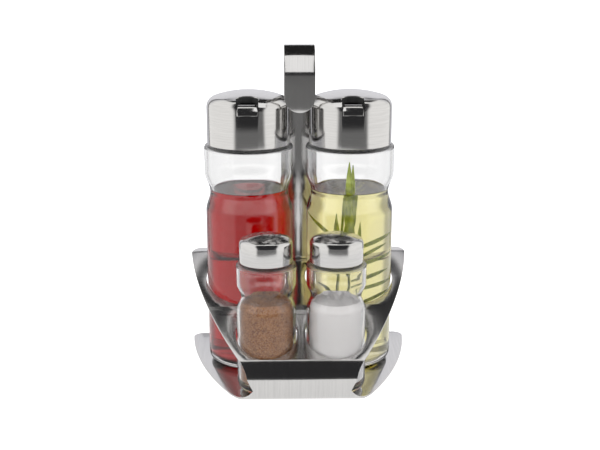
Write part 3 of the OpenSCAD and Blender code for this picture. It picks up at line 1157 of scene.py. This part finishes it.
@dataclass
class PourerCap(DomedCap):
    """A bottle's cap, with its pouring window and ramp.

    Attributes:
        window: Width of the window.
        sill_z: Height of its sill.
        reach: From the axis forward to the middle of the arc that closes the window.
        arch: Radius of that arc.
        ramp_width: Width of the ramp between its bent side strips.
        ramp_side: Width of a side strip, and how far back it is bent.
        ramp_radius: Radius of the ramp's curve.
        cut_height: How far the window is cut upwards from its sill.
    """

    window: float = 14.8
    sill_z: float = 179.0
    reach: float = 16.6
    arch: float = 14.0
    ramp_width: float = 9.6
    ramp_side: Point2 = (2.0, 0.35)
    ramp_radius: float = 7.0
    cut_height: float = 40.0

    def _window_cutter(self) -> bmesh.types.BMesh:
        """A tall prism with the window's outline, which an arc closes at the back."""
        half = self.window / 2
        centre_y = -self.reach - self.arch
        lean = math.degrees(math.asin(half / self.arch))
        back = arc((0.0, centre_y), self.arch, 90 - lean, 90 + lean, 14)
        points = [(half, -2 * self.radius), *back, (-half, -2 * self.radius)]
        bm = bmesh.new()
        base = [Vector((self.axis.x / MM + x, self.axis.y / MM + y, self.sill_z)) * MM for x, y in points]
        edges = chain(bm, base, closed=True)
        bmesh.ops.contextual_create(bm, geom=edges)
        made = bmesh.ops.extrude_face_region(bm, geom=bm.faces[:])
        verts = [v for v in made["geom"] if isinstance(v, bmesh.types.BMVert)]
        bmesh.ops.translate(bm, verts=verts, vec=(0, 0, self.cut_height * MM))
        return bm

    def _ramp(self) -> bpy.types.Object:
        """The strip that curves up and back from the sill."""
        foot_y = self.axis.y / MM - self.radius + 0.2
        profile = arc((foot_y + self.ramp_radius, self.sill_z), self.ramp_radius, 180, 84, 18)
        half = self.ramp_width / 2
        side, back = self.ramp_side
        bm = bmesh.new()
        start = self.axis.x / MM - half - side
        edges = chain(bm, [Vector((start, y + back, z)) * MM for y, z in profile])
        for step in ((side, -back, 0), (2 * half, 0, 0), (side, back, 0)):
            edges = sweep(bm, edges, step)
        face_low(bm, (0, -1, 0))
        return with_modifiers(finish_mesh(self.node + "_ramp", bm), solid_shell(self.wall * MM, 0.12 * MM))

    def build(self) -> None:
        """Builds the shell with its window, and the ramp."""
        shell = cut_with(self.shell(), self._window_cutter(), 0.14 * MM, CAP_SHARP)
        dress(shell, self.steel(), self.body, self.node)
        dress(self._ramp(), self.steel(), self.body)


@dataclass
class ShakerCap(DomedCap):
    """A shaker's cap, with one hole in the middle of a ring of holes.

    Attributes:
        hole: Radius of a hole.
        ring: Radius of the ring.
        holes: How many are in the ring.
        cut_rise: From where the side ends up to the middle of the cutting cylinders.
        cut_depth: Length of the cutting cylinders.
    """

    hole: float = 0.8
    ring: float = 4.4
    holes: int = 6
    cut_rise: float = 8.0
    cut_depth: float = 20.0

    def build(self) -> None:
        """Builds the shell with its holes."""
        cutter = bmesh.new()
        angles = [math.tau * i / self.holes for i in range(self.holes)]
        for x, y in [(0.0, 0.0)] + [(self.ring * math.cos(a), self.ring * math.sin(a)) for a in angles]:
            middle = self.axis + Vector((x, y, self.side_z + self.cut_rise)) * MM
            add_cylinder(cutter, middle, self.hole, self.cut_depth, 32)
        shell = cut_with(self.shell(), cutter, 0.1 * MM, CAP_SHARP)
        dress(shell, self.steel(), self.body, self.node)


# ---- Herb ----


@dataclass
class Leaf:
    """One long narrow leaf.

    Attributes:
        start: Where it leaves the stem, from the bottle's axis, in millimetres.
        heading: Its direction seen from above, in degrees, 0 along +X and 90 to the back.
        rise: Its angle above level at its foot, in degrees.
        length: Along the leaf.
        width: At its widest.
        bend: How much the rise changes towards its tip, in degrees.
        roll: Turn about its own length, in degrees.
        fold: How deep the midrib lies, as a share of half the width.
        thickness: Of the blade.
    """

    start: tuple[float, float, float]
    heading: float
    rise: float
    length: float
    width: float
    bend: float = 0.0
    roll: float = 0.0
    fold: float = 0.35
    thickness: float = 0.18

    def build(self, axis: Vector) -> bmesh.types.BMesh:
        """Builds the blade: a grid that narrows to both ends, folded along its midrib.

        Args:
            axis: The bottle's axis.

        Returns:
            The closed blade.
        """
        steps = 16
        bm = bmesh.new()
        bmesh.ops.create_grid(bm, x_segments=4, y_segments=steps, size=1.0)
        turn = math.radians(self.heading)
        level = Vector((math.cos(turn), math.sin(turn), 0))
        side = Vector((-math.sin(turn), math.cos(turn), 0))
        spine = [Vector(self.start)]
        ways = []
        for i in range(steps):
            lean = math.radians(self.rise + self.bend * (i + 0.5) / steps)
            ways.append(level * math.cos(lean) + Vector((0, 0, math.sin(lean))))
            spine.append(spine[-1] + ways[-1] * self.length / steps)
        ways.append(ways[-1])
        for vert in bm.verts:
            along = (vert.co.y + 1) / 2
            place = min(steps, round(along * steps))
            half = self.width / 2 * math.sin(math.pi * min(0.985, 0.1 + 0.9 * along)) ** 0.7
            way = ways[place]
            across = Matrix.Rotation(math.radians(self.roll), 3, way) @ side
            up = way.cross(across)
            offset = vert.co.x
            sink = half * self.fold * (1 - abs(offset))
            vert.co = (spine[place] + across * half * offset - up * sink) * MM + axis
        bmesh.ops.solidify(bm, geom=bm.faces[:], thickness=self.thickness * MM)
        bmesh.ops.recalc_face_normals(bm, faces=bm.faces)
        return bm


@dataclass
class Sprig:
    """The sprig of long-leaved herb in the oil."""

    node: str
    body: str
    stems: tuple[tuple[tuple[float, float, float], tuple[float, float, float]], ...] = (
        ((-7.0, -2.0, 14.0), (-2.5, -1.0, 120.0)),
        ((2.0, 2.0, 12.0), (2.0, 2.0, 104.0)),
    )
    leaves: tuple[Leaf, ...] = ()

    def build(self) -> bpy.types.Object:
        """Builds the stems and leaves as one piece."""
        axis = node_axis("oil")
        whole = bmesh.new()
        for low, high in self.stems:
            join(whole, self._stem(Vector(low), Vector(high), axis))
        for leaf in self.leaves:
            join(whole, leaf.build(axis))
        sprig = finish_mesh("tarragon_sprig", whole, 60)
        return dress(sprig, FreshLeaf("fresh_leaf", "herb_green"), self.body, self.node)

    @staticmethod
    def _stem(low: Vector, high: Vector, axis: Vector) -> bmesh.types.BMesh:
        """A round stem that thins towards its top."""
        way = high - low
        bm = bmesh.new()
        bmesh.ops.create_cone(
            bm, cap_ends=True, segments=14, radius1=1.1 * MM, radius2=0.5 * MM, depth=way.length * MM
        )
        turn = Vector((0, 0, 1)).rotation_difference(way).to_matrix().to_4x4()
        place = Matrix.Translation((low + high) / 2 * MM + axis) @ turn
        bmesh.ops.transform(bm, matrix=place, verts=bm.verts)
        return bm


LEAVES = (
    Leaf((-1.0, -5.0, 98.0), 285, 88, 46, 5.2, 1, 0),
    Leaf((1.8, -3.0, 100.0), 80, 88, 41, 3.8, -3, 12),
    Leaf((0.5, -6.0, 66.0), 262, 89, 50, 4.4, 1, 0),
    Leaf((-5.5, -4.0, 66.0), 240, 84, 42, 4.4, 3, 0),
    Leaf((-2.4, -7.0, 74.0), 270, 84, 30, 3.2, 2, -20),
    Leaf((3.4, -5.0, 68.0), 300, 82, 36, 3.4, 4, 10),
    Leaf((-5.0, -4.0, 88.0), 176, 52, 30, 4.6, -14, -30),
    Leaf((4.0, -2.0, 84.0), 4, 26, 22, 3.2, 4, 50),
    Leaf((4.0, 0.0, 76.0), 12, 38, 17, 2.4, -6, 50),
    Leaf((3.0, -1.0, 71.0), 6, 22, 23, 2.8, 2, 50),
    Leaf((3.0, -2.0, 60.0), 0, 28, 19, 3.0, -6, 50),
    Leaf((3.0, -3.0, 54.0), 6, 16, 23, 2.8, 2, 50),
    Leaf((3.0, 0.0, 42.0), 0, 32, 23, 2.6, -4, 50),
    Leaf((2.0, -3.0, 35.0), 6, 18, 23, 3.2, 4, 50),
    Leaf((-6.0, -4.0, 50.0), 185, 34, 18, 5.0, -8, 30),
    Leaf((-6.0, -4.0, 36.0), 176, 26, 18, 4.0, 2, 30),
)


# ---- Studio ----


@dataclass(frozen=True)
class Glow(Finish):
    """A plain pale surface that glows a little, so that shadows on it stay faint.

    Attributes:
        glow: Its own light.
        colour: Its colour.
    """

    glow: float = 0.7
    colour: Colour = (0.8, 0.8, 0.8)

    def shade(self, graph: Graph) -> None:
        """A rough surface with some light of its own."""
        table = graph.principled(
            Base_Color=(*self.colour, 1.0),
            Roughness=0.9,
            Emission_Color=(1.0, 1.0, 1.0, 1.0),
            Emission_Strength=self.glow,
            Specular_IOR_Level=0.1,
        )
        graph.output(table)


@dataclass(frozen=True)
class Tent(Finish):
    """The inside of the light tent, painted by direction as seen from the set."""

    white: Colour = (1.14, 1.135, 1.12)
    behind: Colour = (0.62, 0.62, 0.66)

    def directions(self, graph: Graph) -> tuple[Sock, Sock, Sock, Sock]:
        """Angles of a direction, in degrees.

        Args:
            graph: The tree.

        Returns:
            The turn about the X axis (0 in front, 90 overhead), the angle to the side, the angle from
            straight behind, and the height from -1 to 1.
        """
        place = graph.place()
        unit = graph.node("ShaderNodeVectorMath", {"operation": "NORMALIZE"}, {0: place})
        x, y, z = graph.parts(unit)
        degree = 180 / math.pi
        turn = z.angle(-1 * y) * degree
        across = graph.node("ShaderNodeMath", {"operation": "ARCSINE"}, {0: x}) * degree
        back = graph.node("ShaderNodeMath", {"operation": "ARCCOSINE"}, {0: y}) * degree
        return turn, across, back, z

    def glow(self, graph: Graph, colour: Sock) -> None:
        """Ends the tree with light of a colour."""
        light = graph.node("ShaderNodeEmission", {}, {"Color": colour, "Strength": 1.0})
        graph.output(light)


@dataclass(frozen=True)
class MirroredTent(Tent):
    """What steel and glass mirror: white walls, and a dark opening in front that narrows overhead."""

    half_width: float = 41.0
    dark: Colour = (0.035, 0.035, 0.037)
    dark_low: Colour = (0.2, 0.2, 0.2)

    def opening(self, turn: Sock, across: Sock) -> Sock:
        """Share of the dark opening in a direction, without the lit strip that crosses it overhead.

        It is widest in front, narrows to 0.6 of that overhead, and ends behind the set and below the floor.
        """
        narrow = turn.ramp(45, 105, 1.0, 0.6)
        wide = (across - 4).size() / (narrow * self.half_width)
        strip = turn.ramp(85, 87) * turn.ramp(97, 103, 1.0, 0.0)
        ahead = turn.ramp(124, 129, 1.0, 0.0) * turn.ramp(-120, -80)
        return wide.ramp(0.86, 1.12, 1.0, 0.0) * ahead * (1 - strip)

    def shade(self, graph: Graph) -> None:
        """White, the grey wall within 40 degrees of straight behind, its dark border, and the opening."""
        turn, across, back, height = self.directions(graph)
        border = back.ramp(39.0, 40.0) * back.ramp(45.5, 46.5, 1.0, 0.0) * across.size().ramp(8, 13)
        wall = graph.blend(height.ramp(-0.3, 0.5), self.behind, (0.95, 0.95, 0.99))
        roof = back.ramp(46, 62, 1.0, 0.0) * height.ramp(0.2, 0.45)
        white = graph.blend(roof, self.white, (0.66, 0.66, 0.69))
        white = graph.blend(back.ramp(39.0, 40.0, 1.0, 0.0), white, wall)
        deep = graph.blend(turn.ramp(-4, 6), self.dark_low, self.dark)
        self.glow(graph, graph.blend(self.opening(turn, across).most(border * 0.9), white, deep))


@dataclass(frozen=True)
class RefractedTent(Tent):
    """What is seen through the glass: white behind, grey to both sides, the opening in front."""

    side: Colour = (0.46, 0.46, 0.48)

    def shade(self, graph: Graph) -> None:
        """A white backdrop with grey on both sides of it."""
        _, _, back, height = self.directions(graph)
        beside = back.ramp(34, 44) * back.ramp(88, 104, 1.0, 0.0)
        behind = graph.blend(height.ramp(0.0, 0.04), (0.98, 0.98, 0.98), (0.78, 0.76, 0.75))
        front = graph.blend(height.ramp(0.0, 0.15), (0.62, 0.62, 0.62), (1.9, 1.88, 1.86))
        around = graph.blend(back.ramp(70, 110), behind, front)
        self.glow(graph, graph.blend(beside, around, self.side))


@dataclass
class Studio:
    """Camera, floor and light.

    Attributes:
        distance: From the camera to the upright axis of the set.
        camera_z: Height of the camera.
        aim_z: Height on the axis that it looks at.
        azimuth: Of the camera about the set, in degrees.
        lens: Focal length on a 36 mm wide frame.
        floor_size: Radius of the floor.
        floor_z: Height of the floor, clear of the plate's underside.
        table_size: Radius of the table top that the steel mirrors.
        table_z: Height of that table top.
        tent_size: Radius of the light tent.
        card_reach: Radius of the cards over the hook.
        card_half: Half their width.
        card_shift: From the middle of the handle's top to the centre of the cards, back and up.
    """

    distance: float = 684.3
    camera_z: float = 289.0
    aim_z: float = 103.5
    azimuth: float = -1.3
    lens: float = 62.75
    floor_size: float = 6000.0
    floor_z: float = -0.45
    table_size: float = 330.0
    table_z: float = -0.35
    tent_size: float = 3000.0
    card_reach: float = 60.0
    card_half: float = 26.0
    card_shift: Point2 = (-8.0, -19.0)

    def build(self) -> None:
        """Sets up the camera, the floor and the light tent."""
        scene = bpy.context.scene
        scene.view_settings.view_transform = "Standard"
        scene.cycles.max_bounces = 24
        scene.cycles.transmission_bounces = 20
        scene.cycles.transparent_max_bounces = 16
        self._camera(scene)
        floor = Glow("studio_white")
        self._disc("floor", self.floor_size, self.floor_z, floor, "camera", "diffuse", "shadow")
        table = Glow("table_white", glow=0.9, colour=(0.1, 0.1, 0.1))
        self._disc("table_glow", self.table_size, self.table_z, table, "glossy")
        self._dome("mirrored_tent", MirroredTent("mirrored_tent"), "glossy")
        self._dome("refracted_tent", RefractedTent("refracted_tent"), "transmission")
        self._card("hook_card_white", Glow("card_white", glow=1.2, colour=(0, 0, 0)), 10, 71)
        self._card("hook_card_black", Glow("card_black", glow=0.02, colour=(0, 0, 0)), 71, 138)
        self._world(scene)

    def _card(self, name: str, finish: Finish, first: float, last: float) -> None:
        """A small curved card over the hook, which only mirrors see.

        Args:
            name: The card's name.
            finish: Its finish.
            first: Where it starts, in degrees about the hook's bend, 0 in front and 90 overhead.
            last: Where it ends.
        """
        low, high = (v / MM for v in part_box("handle_strip"))
        centre = ((low.y + high.y) / 2 + self.card_shift[0], high.z + self.card_shift[1])
        profile = [(-y, z) for y, z in arc((-centre[0], centre[1]), self.card_reach, first, last, 12)]
        card = strip_mesh(profile, self.card_half)
        self._seen_by(finish_mesh(name, card), finish, ("glossy",))

    def _camera(self, scene: bpy.types.Scene) -> None:
        """Places the camera in front of the set, a little above it."""
        data = bpy.data.cameras.new("camera")
        data.lens = self.lens
        data.sensor_width = 36.0
        data.clip_start = 0.01
        camera = bpy.data.objects.new("camera", data)
        turn = math.radians(self.azimuth)
        where = Vector((math.sin(turn), -math.cos(turn), 0)) * self.distance
        camera.location = (where + Vector((0, 0, self.camera_z))) * MM
        way = Vector((0, 0, self.aim_z)) * MM - camera.location
        camera.rotation_euler = way.to_track_quat("-Z", "Y").to_euler()
        scene.collection.objects.link(camera)
        scene.camera = camera

    @staticmethod
    def _seen_by(piece: bpy.types.Object, finish: Finish, rays: Sequence[str]) -> None:
        """Gives a piece of the studio its finish, and hides it from all rays but those named."""
        for ray in RAYS:
            setattr(piece, "visible_" + ray, ray in rays)
        material = finish.material()
        material.cycles.emission_sampling = "NONE"
        piece.data.materials.append(material)

    def _disc(self, name: str, radius: float, z: float, finish: Finish, *rays: str) -> None:
        """A level disc just under the rack."""
        bm = bmesh.new()
        bmesh.ops.create_circle(bm, cap_ends=True, segments=96, radius=radius * MM)
        bmesh.ops.translate(bm, verts=bm.verts, vec=(0, 0, z * MM))
        self._seen_by(finish_mesh(name, bm), finish, rays)

    def _dome(self, name: str, finish: Tent, *rays: str) -> None:
        """A ball around the whole set, which only mirrors or glass see."""
        bm = bmesh.new()
        bmesh.ops.create_uvsphere(bm, u_segments=48, v_segments=24, radius=self.tent_size * MM)
        self._seen_by(finish_mesh(name, bm), finish, rays)

    @staticmethod
    def _world(scene: bpy.types.Scene) -> None:
        """Even white light, which reaches rough surfaces only."""
        world = bpy.data.worlds.new("soft_light")
        world.use_nodes = True
        graph = Graph(world.node_tree)
        light = graph.node("ShaderNodeBackground", {}, {"Color": (1.0, 1.0, 1.0, 1.0), "Strength": 1.25})
        graph.node("ShaderNodeOutputWorld", {}, {"Surface": light})
        world.cycles_visibility.glossy = False
        world.cycles_visibility.transmission = False
        scene.world = world


# ---- The set ----


def bottle(name: str) -> Vessel:
    """The glass of a bottle."""
    return Vessel(
        name,
        radius=BOTTLE_RADIUS,
        bulge=30.35,
        waist=26.8,
        waist_z=123.5,
        waist_spread=13.5,
        ledge_z=BOTTLE_LEDGE_Z,
        neck=24.0,
        wall=2.4,
        base=5.0,
        fillet=6.0,
    )


def shaker(name: str) -> Vessel:
    """The glass of a shaker."""
    return Vessel(
        name,
        radius=SHAKER_RADIUS,
        bulge=SHAKER_RADIUS,
        waist=16.7,
        waist_z=66.0,
        waist_spread=9.0,
        ledge_z=SHAKER_LEDGE_Z,
        neck=14.2,
        wall=2.0,
        base=4.5,
        fillet=6.5,
        steps=144,
    )


def dress_hidden_nodes(nodes: dict[str, bpy.types.Object]) -> None:
    """Gives the CAD nodes that are shown as they are their finishes.

    Args:
        nodes: The CAD nodes by name.
    """
    black = Moulded("pourer_black", "black_plastic", (0.012, 0.012, 0.012), 0.42)
    white = Moulded("insert_white", "white_plastic", (0.72, 0.72, 0.7), 0.35)
    seal = Moulded("neck_silicone", "clear_seal", (0.66, 0.66, 0.64), 0.3)
    finishes = {"_pourer": black, "_cap_insert": white, "_neck_seal": seal}
    for name, node in nodes.items():
        for ending, finish in finishes.items():
            if name.endswith(ending):
                node.data.materials.clear()
                node.data.materials.append(finish.material())
                LOG.info("%s keeps its CAD mesh, %s", name, finish.name)


def main() -> None:
    """Builds every sub-assembly in turn."""
    logging.basicConfig(level=logging.INFO, format="%(name)s %(message)s")
    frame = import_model()
    Studio().build()
    rack = Rack()
    rack.build()
    Handle(rack).build()
    vinegar_bottle, oil_bottle = bottle("vinegar_bottle"), bottle("oil_bottle")
    pepper_shaker, salt_shaker = shaker("pepper_shaker"), shaker("salt_shaker")
    for vessel in (vinegar_bottle, oil_bottle, pepper_shaker, salt_shaker):
        vessel.build()
    vinegar = ClearLiquid("red_vinegar", "red_vinegar", tint=(0.85, 0.02, 0.05), density=130.0, ior=1.34)
    oil = ClearLiquid("yellow_oil", "yellow_oil", tint=(0.95, 0.905, 0.47), density=35.0, ior=1.46)
    Liquid(vinegar_bottle, "vinegar", vinegar).build()
    Liquid(oil_bottle, "oil", oil).build()
    Sprig("herb_sprig", "oil_bottle", leaves=LEAVES).build()
    pepper = Grains("ground_pepper", "ground_pepper")
    salt = Grains(
        "table_salt",
        "table_salt",
        dark=(0.9, 0.87, 0.865),
        middle=(0.95, 0.93, 0.925),
        light=(0.98, 0.97, 0.965),
        pitch=0.0003,
    )
    GrainFill(pepper_shaker, "pepper", pepper).build()
    GrainFill(salt_shaker, "salt", salt, slope=1.0, lumps=1.6).build()
    for name in ("vinegar", "oil"):
        side_z = BOTTLE_LEDGE_Z + 25.4
        PourerCap(
            name + "_cap_shell", name + "_cap", radius=28.2, side_z=side_z, shoulder=7.6, crown=18.7
        ).build()
    for name in ("pepper", "salt"):
        side_z = SHAKER_LEDGE_Z + 12.2
        ShakerCap(
            name + "_cap_shell", name + "_cap", radius=17.4, side_z=side_z, shoulder=3.9, crown=24.6
        ).build()
    dress_hidden_nodes(frame["nodes"])


if __name__ == "__main__":
    main()
